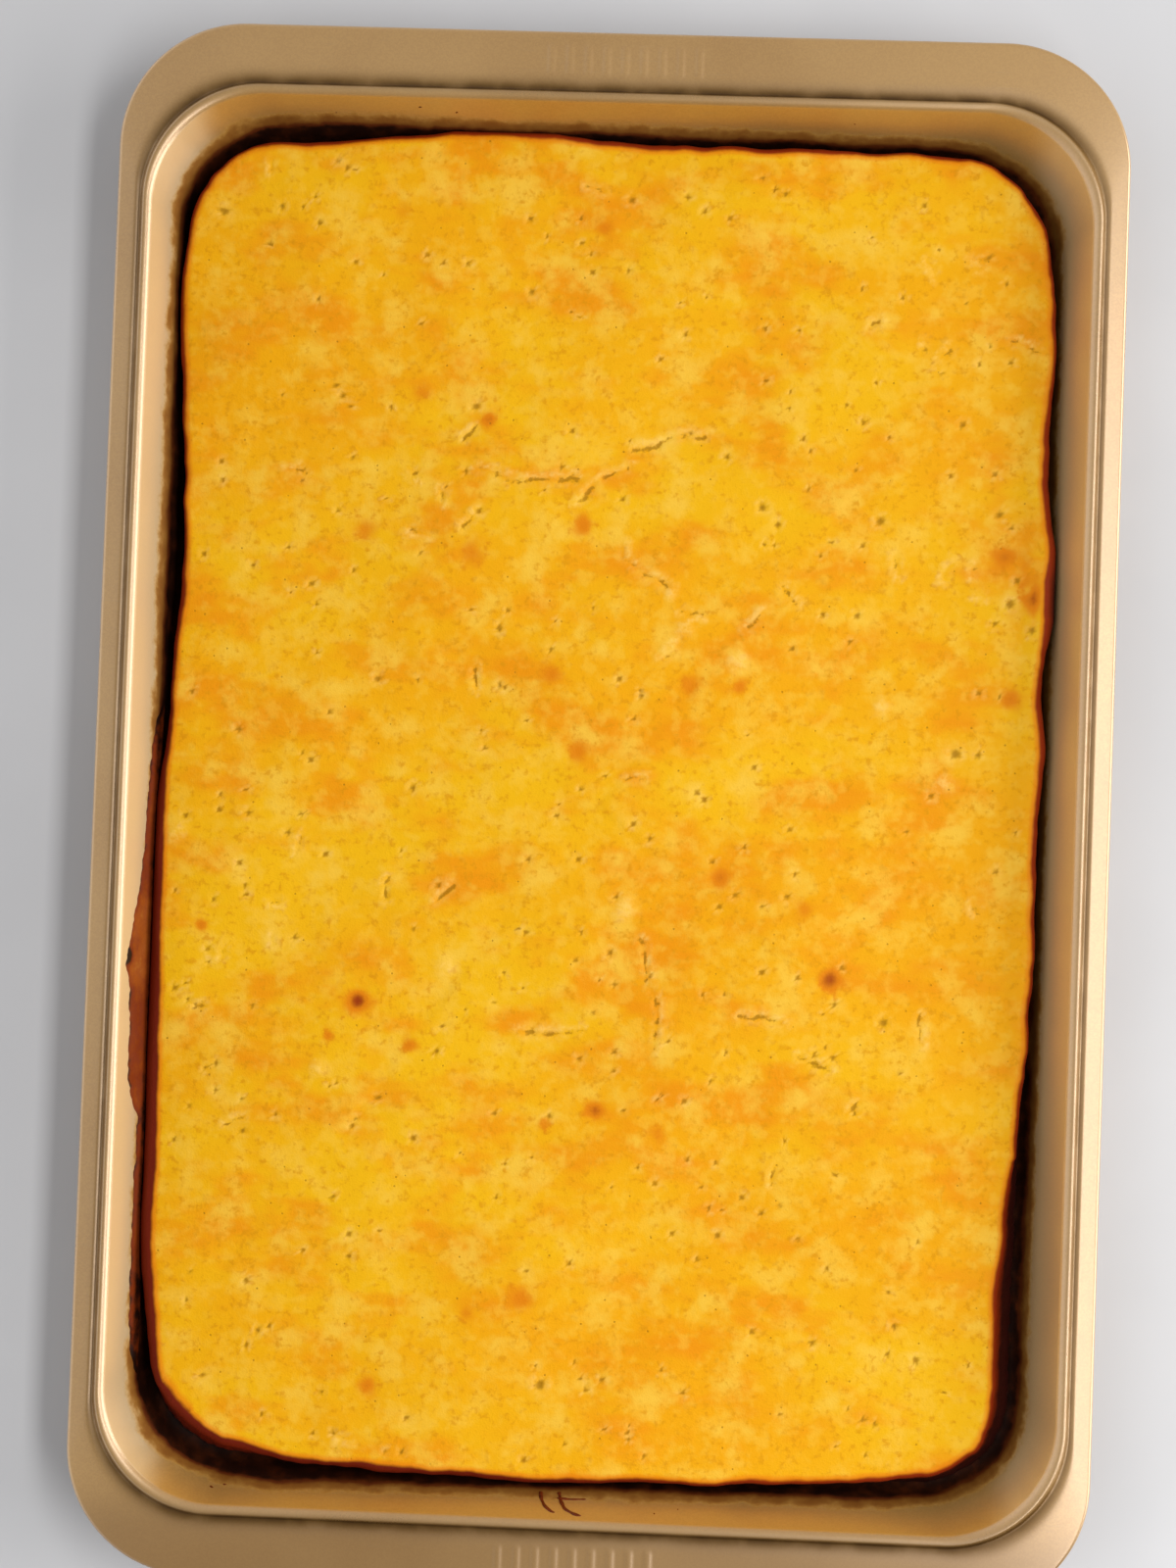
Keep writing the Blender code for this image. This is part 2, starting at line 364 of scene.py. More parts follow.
def start_group(name, inputs, outputs):
    """A new node group with its named sockets: values, or colours where the name says so."""
    tree = bpy.data.node_groups.new(name, "ShaderNodeTree")
    for names, in_out in ((inputs, "INPUT"), (outputs, "OUTPUT")):
        for socket in names:
            kind = "NodeSocketColor" if "Colour" in socket else "NodeSocketFloat"
            tree.interface.new_socket(name=socket, in_out=in_out, socket_type=kind)
    return tree, add_node(tree, "NodeGroupInput"), add_node(tree, "NodeGroupOutput")


def place_group(tree, group, inputs):
    """Place a node group with its inputs, and give back its outputs."""
    return add_node(tree, "ShaderNodeGroup", inputs, node_tree=group).outputs


def make_baked_batter():
    """The look that batter takes where it has baked on to steel.

    From thin to thick it goes through amber and brown, more or less red, to nearly black,
    broken up by noise.
    """
    tree, given, made = start_group(
        "baked_batter",
        ("Thickness", "Patch Size", "Redness"),
        ("Colour", "Roughness", "Relief", "Cover"),
    )
    place = add_node(tree, "ShaderNodeTexCoord").outputs["Object"]
    scale = reckon(tree, "DIVIDE", 1.0, given.outputs["Patch Size"])
    inputs = {"Vector": place, "Scale": scale, "Detail": 4.0, "Roughness": 0.6}
    patches = add_node(tree, "ShaderNodeTexNoise", inputs).outputs["Fac"]
    uneven = reckon(tree, "MULTIPLY", reckon(tree, "SUBTRACT", patches, 0.5), 0.5)
    thick = reckon(tree, "ADD", given.outputs["Thickness"], uneven)
    red = given.outputs["Redness"]
    thin = blend_colours(tree, red, (0.17, 0.085, 0.014), (0.24, 0.055, 0.006))
    thicker = blend_colours(tree, red, (0.06, 0.018, 0.004), (0.15, 0.022, 0.003))
    amber = blend_colours(tree, between(tree, thick, 0.05, 0.4), (0.42, 0.22, 0.045), thin)
    brown = blend_colours(tree, between(tree, thick, 0.35, 0.75), amber, thicker)
    black = blend_colours(tree, between(tree, thick, 0.75, 1.05), brown, (0.012, 0.003, 0.001))
    tree.links.new(black, made.inputs["Colour"])
    tree.links.new(between(tree, patches, 0.3, 0.7, 0.28, 0.5), made.inputs["Roughness"])
    tree.links.new(thick, made.inputs["Relief"])
    tree.links.new(between(tree, thick, 0.02, 0.3), made.inputs["Cover"])
    return tree


def stain_and_gap_shade(tree, place):
    """How thick batter has baked on at each height: most at the wall's foot, then a thin wash.
    Where it lies thickest, at the foot, it is painted nearly black, partly as painted shade
    in the gap by the pancake.

    The height is first lowered to the left and at the middle of both end walls, so that
    the batter and its painted shade reach higher there, and noise makes their upper edges
    ragged.
    """
    split = add_node(tree, "ShaderNodeSeparateXYZ", {0: place}).outputs
    off_middle = reckon(tree, "ABSOLUTE", split["X"])
    off_centre = reckon(tree, "ABSOLUTE", split["Y"])
    half_width, half_length = OPENING_WIDTH / 2, OPENING_LENGTH / 2
    tilt = reckon(tree, "MULTIPLY", split["X"], STAIN_AND_SHADE_TILT)
    height = reckon(tree, "ADD", split["Z"], tilt)
    middle = between(tree, off_middle, half_width - 22 * MM, half_width - 52 * MM, 0.0, STAIN_AND_SHADE_AT_ENDS)
    end_wall = between(tree, off_centre, half_length - 42.5 * MM, half_length - 2.5 * MM)
    height = reckon(tree, "SUBTRACT", height, reckon(tree, "MULTIPLY", middle, end_wall))
    ragged = reckon(tree, "MULTIPLY", noise(tree, place, 14 * MM, 4.0, 0.6), 6 * MM)
    height = reckon(tree, "ADD", height, ragged)
    wash = between(tree, height, WASH_TOP, STAIN_AND_SHADE_TOP, 0.0, 0.5)
    return reckon(tree, "ADD", wash, between(tree, height, STAIN_AND_SHADE_TOP, STAIN_AND_SHADE_FULL, 0.0, 0.64))


def mix_coating():
    """The champagne coating: a fine metallic paint with flakes, rubbed edges and scratches.

    The long walls' inner faces are painted paler, a painted highlight, and the near end
    darker, painted shade. The groove round the bead is painted darker, most at the ends,
    painted shade with some old grease, and batter has baked on to its inner face, which
    is painted nearly black at the foot, partly as painted shade in the gap by the pancake.
    """
    finish, tree, shader, place = start_finish("champagne_coating")
    cloud = between(tree, noise(tree, place, 70 * MM, 3.0), 0.3, 0.7)
    flake = add_node(tree, "ShaderNodeTexVoronoi", {"Vector": place, "Scale": 1 / (0.45 * MM)})
    glint = add_node(tree, "ShaderNodeSeparateColor", {0: flake.outputs["Color"]}).outputs[0]
    stretched = add_node(
        tree, "ShaderNodeMapping", {"Vector": place, "Rotation": (0, 0, 0.5), "Scale": (1, 40, 1)}
    )
    streak = noise(tree, stretched.outputs[0], 14 * MM, 2.0)
    scratch = between(tree, streak, 0.66, 0.72)
    rubbed = reckon(tree, "MULTIPLY", read_value(tree, "rubbed_edge"), noise(tree, place, 5 * MM))

    colour = blend_colours(tree, cloud, (0.385, 0.195, 0.038), (0.44, 0.24, 0.06))
    colour = blend_colours(tree, between(tree, glint, 0.0, 1.0, 0.0, 0.14), colour, (0.72, 0.44, 0.14))
    colour = blend_colours(tree, reckon(tree, "MULTIPLY", rubbed, 0.12), colour, (0.74, 0.58, 0.36))
    colour = blend_colours(tree, reckon(tree, "MULTIPLY", scratch, 0.18), colour, (0.35, 0.24, 0.12))

    split = add_node(tree, "ShaderNodeSeparateXYZ", {0: place}).outputs
    half_width, half_length = OPENING_WIDTH / 2, OPENING_LENGTH / 2
    inner = read_value(tree, "inner_face")
    # The inner faces of the long walls are painted paler, a painted highlight of the window's light,
    # most on the left wall, which faces the window
    at_left = between(tree, split["X"], 20 * MM - half_width, 10 * MM - half_width, 0.0, 0.65)
    at_right = between(tree, split["X"], half_width - 20 * MM, half_width - 10 * MM, 0.0, 0.35)
    pale = reckon(tree, "MULTIPLY", reckon(tree, "ADD", at_left, at_right), inner)
    colour = blend_colours(tree, pale, colour, (0.68, 0.53, 0.31))
    # The near end's wall top, bead and flange are painted darker: painted shade
    near_end_shade = between(tree, split["Y"], 7.5 * MM - half_length, -9.5 * MM - half_length, 0.0, 0.45)
    colour = blend_colours(tree, near_end_shade, colour, (0.21, 0.095, 0.012))
    # The groove round the bead is painted darker, most at the ends: painted shade in the hollow, with
    # some old grease
    off_centre = reckon(tree, "ABSOLUTE", split["Y"])
    at_ends = between(tree, off_centre, half_length - 22.5 * MM, half_length + 2.5 * MM, 0.6, 1.0)
    groove_shade_and_grime = between(tree, noise(tree, place, 12 * MM, 3.0), 0.3, 0.6, 0.75, 1.0)
    groove_shade_and_grime = reckon(tree, "MULTIPLY", read_value(tree, "groove"), groove_shade_and_grime)
    groove_shade_and_grime = reckon(tree, "MULTIPLY", groove_shade_and_grime, at_ends)
    colour = blend_colours(tree, groove_shade_and_grime, colour, (0.075, 0.034, 0.007))

    # Batter baked on to the inner face, nearly black at the foot: real baked-on batter, and painted
    # shade in the gap by the pancake
    stain_and_shade = stain_and_gap_shade(tree, place)
    thickness = reckon(tree, "SUBTRACT", reckon(tree, "MULTIPLY", stain_and_shade, inner), 0.15)
    inputs = {"Thickness": thickness, "Patch Size": 6 * MM, "Redness": 0.4}
    batter = place_group(tree, baked_batter, inputs)
    cover = reckon(tree, "MULTIPLY", batter["Cover"], inner)
    colour = blend_colours(tree, cover, colour, batter["Colour"])

    gloss = between(tree, cloud, 0.0, 1.0, 0.34, 0.42)
    gloss = reckon(tree, "SUBTRACT", gloss, reckon(tree, "MULTIPLY", glint, 0.06))
    gloss = reckon(tree, "SUBTRACT", gloss, reckon(tree, "MULTIPLY", rubbed, 0.08))
    tree.links.new(colour, shader.inputs["Base Color"])
    tree.links.new(gloss, shader.inputs["Roughness"])
    tree.links.new(between(tree, cover, 0.0, 1.0, 0.3, 0.0), shader.inputs["Metallic"])
    dull = reckon(tree, "MAXIMUM", cover, groove_shade_and_grime)
    tree.links.new(between(tree, dull, 0.0, 0.9, 1.0, 0.04), shader.inputs["Coat Weight"])
    shader.inputs["Specular IOR Level"].default_value = 0.3
    shader.inputs["Coat IOR"].default_value = 2.0
    shader.inputs["Coat Roughness"].default_value = 0.35
    fine = reckon(tree, "MULTIPLY", noise(tree, place, 0.5 * MM, 2.0), 0.03)
    lumps = reckon(tree, "MULTIPLY", batter["Relief"], reckon(tree, "MULTIPLY", stain_and_shade, 0.25))
    relief = reckon(tree, "ADD", fine, lumps)
    relief = reckon(tree, "SUBTRACT", relief, reckon(tree, "MULTIPLY", scratch, 0.02))
    bump = add_node(tree, "ShaderNodeBump", {"Strength": 0.5, "Distance": 0.3 * MM, "Height": relief})
    tree.links.new(bump.outputs[0], shader.inputs["Normal"])
    return finish


baked_batter = make_baked_batter()
pan_body = press_pan()
pan_body.data.materials.append(mix_coating())
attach(pan_body, "root")
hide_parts("pan")

# -------------------------------------------------------------- the pancake
# The pancake is one flat cake of batter, baked in the pan to about 12 mm. Its top has set
# to a soft golden skin with burst bubbles, wrinkles, pale blisters and a few browned
# spots, and its edge has browned where it met the hot steel and then drew back from it.
pancake_low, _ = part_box("pancake")
PANCAKE_BASE = pancake_low[2]
PANCAKE_TOP = PANCAKE_BASE + 11.8 * MM
EDGE_ROUNDING = 2.6 * MM
PANCAKE_EDGE = PANCAKE_TOP - EDGE_ROUNDING
TOUCH_GAP = 0.4 * MM
EDGE_GAP = 3.3 * MM
CROWN = 0.6 * MM

# Where the edge clings to the wall or has drawn back: X, Y, reach, and what it adds to
# the gap, in millimetres
EDGE_PLACES = (
    (137, -135, 50, 6.2), (122, -193, 40, 6.2), (-120, -197, 30, 6.8), (126, 193, 30, 3.6),
    (-118, 202, 36, 2.4), (-37, 207, 24, -4.4), (137, 72, 18, -4.0), (-137, 78, 36, 2.2),
    (-137, -10, 26, -2.6), (-137, -70, 50, -3.0), (-134, 152, 22, -2.2), (-136, -134, 26, -2.0),
    (137, 152, 26, -1.5), (137, 22, 14, -1.3), (-12, -207, 22, -1.7),
)

# Where the edge has browned further in than usual: X, Y, reach, and by how much, in
# millimetres
BROWNED_PLACES = (
    (-137, -16, 26, 1.6), (-137, -66, 42, 2.2), (-137, -130, 40, 2.6), (-120, -196, 34, 1.6),
    (-60, -207, 34, 0.8), (10, -207, 30, 0.5), (137, 68, 12, 2.6), (137, 100, 22, 0.7),
    (137, 22, 16, 0.6), (-10, 207, 40, 0.6), (60, 207, 30, 0.5),
)

# Long swells of the top: wavelengths along X and Y, rise, in millimetres, and phase
TOP_SWELLS = ((170, 260, 0.35, 0.6), (95, -130, 0.22, 2.1), (-60, 85, 0.14, 4.0))

# Burst bubbles: X, Y and radius, in millimetres
PITS = (
    (107, 20, 1.5), (114, 20, 0.8), (100, 7, 0.9), (82, 90, 1.2), (118, 93, 1.1), (122, 66, 1.3),
    (129, 58, 1.2), (124, 73, 1.0), (76, 61, 0.9), (46, 93, 1.2), (51, 88, 0.9), (35, 108, 0.9),
    (-42, 121, 1.0), (-40, 89, 0.9), (106, 120, 1.0), (3, 186, 1.0), (50, 189, 0.8),
    (-122, 179, 1.1), (-69, 37, 1.0), (88, -62, 1.2), (73, -73, 0.8), (-105, -102, 0.9),
    (40, -128, 0.9), (-12, -175, 1.5), (-98, -162, 0.8), (-16, -198, 0.9), (-57, 4, 0.9),
    (-6, -16, 0.9), (-13, -3, 0.8), (-83, -17, 0.8), (101, -163, 1.0), (-111, 20, 0.9),
)

# Browned spots: X, Y and radius, in millimetres, and how deep the colour is
SPOTS = (
    (-71.5, -61.5, 4.2, 1.0), (71.5, -49.5, 3.6, 0.85), (2, -92, 3.0, 0.75), (37, -20, 3.2, 0.6),
    (-16, 40, 4.0, 0.45), (-8, 86, 3.5, 0.5), (120, 80, 4.0, 0.6), (-19, -149, 5.0, 0.45),
    (-120, -40, 2.4, 0.55), (-13.5, -96, 2.6, 0.4), (-55, -74, 2.6, 0.5), (-80, -72, 2.4, 0.45),
    (-67, 180, 4.0, 0.25), (-5, 177, 3.0, 0.45), (-59, 125, 4.0, 0.35), (-75, 82, 5.0, 0.35),
    (-42, 76, 6.0, 0.35), (26, 38, 4.0, 0.4), (41, 38, 3.0, 0.45), (-7, 17, 4.0, 0.45),
    (63, -29, 4.0, 0.35), (123, 37, 3.4, 0.5), (-64, -177, 3.4, 0.5), (-35, -154, 3.0, 0.35),
    (-38, 117, 3.0, 0.6), (21, -98, 3.5, 0.35), (132.5, 68, 6.5, 0.9),
)

# Blisters, painted pale, partly paler skin and partly painted highlight: X, Y and radius, in
# millimetres
BLISTERS = (
    (41, 46, 5.0), (104, 11, 4.5), (9, -30, 5.0), (-83, -82, 4.0), (-45, -50, 4.0),
    (-130, -12, 5.0), (24, 56, 4.0), (84, 34, 4.0), (19, 66, 3.5),
)

# Wrinkles in the skin, each a line through a few points, X and Y in millimetres
WRINKLES = (
    ((-40, 102), (-35, 101), (-32, 98.8), (-28, 98.4), (-19, 99.2), (-10, 100)),
    ((-10, 93), (-7, 96.6), (-3.6, 99.7), (4.6, 103.6)),
    ((6, 109.6), (12, 110.4), (19, 113.3), (28, 114.2)),
    ((4, 80.5), (5, 76), (7.2, 74), (11.7, 71), (19, 67.6)),
    ((14.2, -40), (15.3, -47.3), (18.7, -57.5), (20, -65), (19.2, -72)),
    ((-22, -68.6), (-13, -69.4), (-4.2, -67.3)),
    ((44.6, -62.5), (50.5, -61.7), (58, -63.8)),
    ((62.8, -73), (68.8, -75.8), (73, -77)),
    ((53, 69), (57, 64)),
    ((98.5, -60), (99.3, -68)),
    ((-39.5, 41), (-39, 35)),
    ((-48, -30), (-44, -25)),
    ((120, 146), (124, 144.5), (129, 143)),
)

SCATTERED_PITS = 300
SCATTERED_WRINKLES = 34
PIT_MARGIN = 13.0 * MM
WRINKLE_MARGIN = 14.0 * MM
PIT_DEPTH = 0.45 * MM
PIT_RIM = 0.06 * MM
SPOT_DIMPLE = 0.15 * MM
BLISTER_RISE = 0.3 * MM
WRINKLE_DEPTH = 0.45 * MM
WRINKLE_LIP = 0.22 * MM
GRID_X, GRID_Y = 226, 350
LATTICE = 250


def soft_noise(x, y, size, seed):
    """Smooth random values from -1 to 1, which change over about the given size.

    A random number at each corner of a square lattice, turned by 37 degrees so that its
    rows don't show, is carried across each square by smooth steps both ways.
    """
    table = np.random.default_rng(seed).uniform(-1, 1, (LATTICE + 1, LATTICE + 1))
    across, along = (0.8 * x - 0.6 * y) / size, (0.6 * x + 0.8 * y) / size
    column, row = np.floor(across).astype(int), np.floor(along).astype(int)
    part_x, part_y = smooth_step(across - column), smooth_step(along - row)
    column, row = column % LATTICE, row % LATTICE
    lower = table[column, row] * (1 - part_x) + table[column + 1, row] * part_x
    upper = table[column, row + 1] * (1 - part_x) + table[column + 1, row + 1] * part_x
    return lower * (1 - part_y) + upper * part_y


def wall_outset(height):
    """How far outside the opening the pan's inner face stands at a height.

    It is a steady lean between the arcs of foot and lip, and below zero inside the opening.
    """
    drop = np.minimum(STEEL + FOOT_RADIUS - height, FOOT_RADIUS)
    foot = FOOT_CENTRE + np.sqrt(np.maximum(FOOT_RADIUS**2 - drop**2, 0))
    foot_top = STEEL + FOOT_RADIUS * (1 - math.sin(LEAN_ANGLE))
    rise = np.clip(height - PAN_HEIGHT + LIP_RADIUS, 0, LIP_RADIUS)
    lip = CREST - np.sqrt(LIP_RADIUS**2 - rise**2)
    wall = -WALL_LEAN * (WALL_TOP - height)
    return np.where(height < foot_top, foot, np.where(height > LIP_FOOT, lip, wall))


def edge_gap(x, y):
    """How far the cooked edge stands from the wall.

    The usual gap, plus what each place adds, which fades as a bell round it, and a fine
    unevenness that grows with the gap.
    """
    gap = np.full_like(x, EDGE_GAP)
    for place_x, place_y, reach, amount in EDGE_PLACES:
        away = np.hypot(x - place_x * MM, y - place_y * MM) / (reach * MM)
        gap += amount * MM * np.exp(-away * away)
    uneven = 0.55 * soft_noise(x, y, 11 * MM, 31) + 0.3 * soft_noise(x, y, 4.5 * MM, 32)
    gap += uneven * MM * np.clip(gap / (3 * MM), 0.0, 1.0)
    return np.maximum(gap, TOUCH_GAP)


def browned_reach(x, y):
    """How much further in the edge has browned: each place's amount, a bell round it."""
    reach_in = np.zeros_like(x)
    for place_x, place_y, reach, amount in BROWNED_PLACES:
        away = np.hypot(x - place_x * MM, y - place_y * MM) / (reach * MM)
        reach_in += amount * MM * np.exp(-away * away)
    return reach_in


def smooth_top(x, y):
    """Height of the top without its small marks.

    A low crown, long waves, and soft noise of three sizes for the puffy unevenness.
    """
    across, along = 2 * x / OPENING_WIDTH, 2 * y / OPENING_LENGTH
    height = PANCAKE_TOP + CROWN * (1 - across * across) * (1 - along * along)
    for length_x, length_y, rise, phase in TOP_SWELLS:
        waves = x / (length_x * MM) + y / (length_y * MM)
        height = height + rise * MM * np.sin(2 * math.pi * waves + phase)
    for size, rise, seed in ((24, 0.22, 41), (10, 0.13, 42), (4.2, 0.07, 43)):
        height = height + rise * MM * soft_noise(x, y, size * MM, seed)
    return height


def scatter_pits(count, seed):
    """More bubbles than the named ones: random places, kept where a soft noise is high."""
    draw = np.random.default_rng(seed)
    half_x, half_y = OPENING_WIDTH / 2 - PIT_MARGIN, OPENING_LENGTH / 2 - PIT_MARGIN
    x = draw.uniform(-half_x, half_x, count * 3)
    y = draw.uniform(-half_y, half_y, count * 3)
    radius = draw.uniform(0.45, 0.9, count * 3) * MM
    keep = soft_noise(x, y, 28 * MM, seed + 1) > draw.uniform(-0.9, 1.0, count * 3)
    return np.stack([x, y, radius], axis=-1)[keep][:count]


def scatter_wrinkles(count, seed):
    """More wrinkles than the named ones: short bent lines, in millimetres, in a few patches."""
    draw = np.random.default_rng(seed)
    half_x = (OPENING_WIDTH / 2 - WRINKLE_MARGIN) / MM
    half_y = (OPENING_LENGTH / 2 - WRINKLE_MARGIN) / MM
    x = draw.uniform(-half_x, half_x, count * 4)
    y = draw.uniform(-half_y, half_y, count * 4)
    keep = soft_noise(x, y, 30, seed + 1) > draw.uniform(0.0, 0.8, count * 4)
    x, y = x[keep][:count], y[keep][:count]
    angle = draw.uniform(0, math.pi, x.size)
    bend = draw.uniform(-0.9, 0.9, x.size)
    reach = draw.uniform(1.2, 3.2, x.size)
    middle = np.stack([x, y], axis=-1)
    arriving = np.stack([np.cos(angle), np.sin(angle)], axis=-1)
    leaving = np.stack([np.cos(angle + bend), np.sin(angle + bend)], axis=-1)
    start, stop = middle - arriving * reach[:, None], middle + leaving * reach[:, None]
    return np.stack([start, middle, stop], axis=1)


def nearest_on_line(x, y, line):
    """The nearest place on a line of points, and the distance to it, signed by its side."""
    best = np.full_like(x, np.inf)
    near_x, near_y, side = np.zeros_like(x), np.zeros_like(x), np.ones_like(x)
    ends = np.array(line) * MM
    for (start_x, start_y), (stop_x, stop_y) in zip(ends, ends[1:]):
        run_x, run_y = stop_x - start_x, stop_y - start_y
        along = ((x - start_x) * run_x + (y - start_y) * run_y) / (run_x**2 + run_y**2)
        along = np.clip(along, 0.0, 1.0)
        place_x, place_y = start_x + along * run_x, start_y + along * run_y
        away = np.hypot(x - place_x, y - place_y)
        closer = away < best
        best = np.where(closer, away, best)
        near_x, near_y = np.where(closer, place_x, near_x), np.where(closer, place_y, near_y)
        turn = np.sign(run_x * (y - start_y) - run_y * (x - start_x))
        side = np.where(closer, turn, side)
    return near_x, near_y, best * side


def draw_together(x, y, near_x, near_y, reach, pull):
    """Draw the grid's points towards a place, so that its small shape gets more of them.

    Within the reach, a point's distance is cut by the pull, less and less outwards.
    """
    away = np.hypot(x - near_x, y - near_y) / reach
    share = pull * np.clip(1 - away * away, 0, 1) ** 2
    return x + (near_x - x) * share, y + (near_y - y) * share


def lay_marks(x, y):
    """The small marks of the top: how they raise it, and how strongly each kind shows.

    A bubble is a smooth hole with a low rim, a spot a bell of colour with a deeper core,
    a blister a low dome, and a wrinkle a groove with a lip along both sides, one higher
    than the other. Soft noise makes every outline uneven.
    """
    raised = np.zeros_like(x)
    shows = {name: np.zeros_like(x) for name in ("pit", "wrinkle", "browned", "pale")}
    ragged = 1 + 0.28 * soft_noise(x, y, 1.1 * MM, 51)
    for pit_x, pit_y, radius in all_pits:
        close = np.nonzero(np.hypot(x - pit_x, y - pit_y) < 3 * radius)[0]
        away = np.hypot(x[close] - pit_x, y[close] - pit_y) / (1.15 * radius) * ragged[close]
        depth = PIT_DEPTH * (radius / MM) ** 0.7
        raised[close] -= depth * (1 - smooth_step((away - 0.2) / 0.9))
        raised[close] += PIT_RIM * np.exp(-(((away - 1.5) / 0.4) ** 2))
        # How dark the bubble is painted inside: painted shade
        hole = 1 - smooth_step((away - 0.25) / 1.0)
        shows["pit"][close] = np.maximum(shows["pit"][close], hole)
        # A pale ring round the bubble: partly paler skin, partly painted highlight
        halo = 0.5 * np.exp(-(((away - 1.6) / 0.5) ** 2))
        shows["pale"][close] = np.maximum(shows["pale"][close], halo)
    patchy = 1 + 0.35 * soft_noise(x, y, 2.6 * MM, 52)
    for spot_x, spot_y, radius, strength in SPOTS:
        away = np.hypot(x - spot_x * MM, y - spot_y * MM) / (1.25 * radius * MM) * patchy
        core = np.exp(-((away / 0.55) ** 2))
        shows["browned"] += strength * (0.42 * np.exp(-away * away) + 0.58 * core)
        raised -= SPOT_DIMPLE * strength * core
    for dome_x, dome_y, radius in BLISTERS:
        away = np.hypot(x - dome_x * MM, y - dome_y * MM) / (radius * MM) * patchy
        dome = np.clip(1 - away * away, 0, 1) ** 2
        raised += BLISTER_RISE * dome
        # The blister is painted pale: partly paler skin, partly painted highlight
        shows["pale"] = np.maximum(shows["pale"], 0.8 * dome)
    broken = np.clip(0.7 + 0.9 * soft_noise(x, y, 1.8 * MM, 53), 0, 1)
    warped_x = x + 0.8 * MM * soft_noise(x, y, 2.6 * MM, 54)
    warped_y = y + 0.8 * MM * soft_noise(x, y, 2.6 * MM, 55)
    for line in all_wrinkles:
        _, _, side = nearest_on_line(warped_x, warped_y, line)
        side = side / MM * ragged
        groove = np.exp(-((side / 0.6) ** 2)) * broken
        lip = np.exp(-(((side - 1.4) / 0.8) ** 2)) + 0.4 * np.exp(-(((side + 1.4) / 0.6) ** 2))
        raised += WRINKLE_LIP * lip - WRINKLE_DEPTH * groove
        # The wrinkle's groove is painted dark, painted shade, and its lips pale, partly paler skin and
        # partly painted highlight
        shows["wrinkle"] = np.maximum(shows["wrinkle"], groove)
        shows["pale"] = np.maximum(shows["pale"], 0.75 * lip)
    return raised, shows


def columns_round_edge(way_round):
    """The outline's columns at a way round, which goes from 0 to 4 between the corners' middles.

    A dense lap is measured along the pancake's edge, and from one corner's middle to the
    next the way round goes up evenly with the length.
    """
    corner_steps, end_steps, side_steps = 401, 898, 1398
    dense = walk_round(
        np.linspace(0, 1, corner_steps),
        np.linspace(0, 1, end_steps + 2)[1:-1],
        np.linspace(0, 1, side_steps + 2)[1:-1],
    )
    dense = np.concatenate([dense, dense[:, :1]], axis=1)
    guide_x, guide_y = along_opening(dense, wall_outset(PANCAKE_EDGE))
    run = np.append(0.0, np.cumsum(np.hypot(np.diff(guide_x), np.diff(guide_y))))
    legs = [0, corner_steps + end_steps, corner_steps + side_steps, corner_steps + end_steps]
    corner_middles = np.cumsum(legs) + corner_steps // 2
    corners = np.append(run[corner_middles], run[corner_middles[0]] + run[-1])
    place = np.interp(way_round, np.arange(5), corners) % run[-1]
    return np.stack([np.interp(place, run, numbers) for numbers in dense])


def shoulder_at(lap):
    """The edge's gap to the wall, how far in its rounding reaches, and its place."""
    wall_x, wall_y = along_opening(lap, wall_outset(PANCAKE_EDGE))
    gap = edge_gap(wall_x, wall_y)
    edge_x, edge_y = wall_x - gap * lap[2], wall_y - gap * lap[3]
    round_off = EDGE_ROUNDING * (1 + 0.3 * soft_noise(wall_x, wall_y, 16 * MM, 61))
    return gap, round_off, edge_x, edge_y


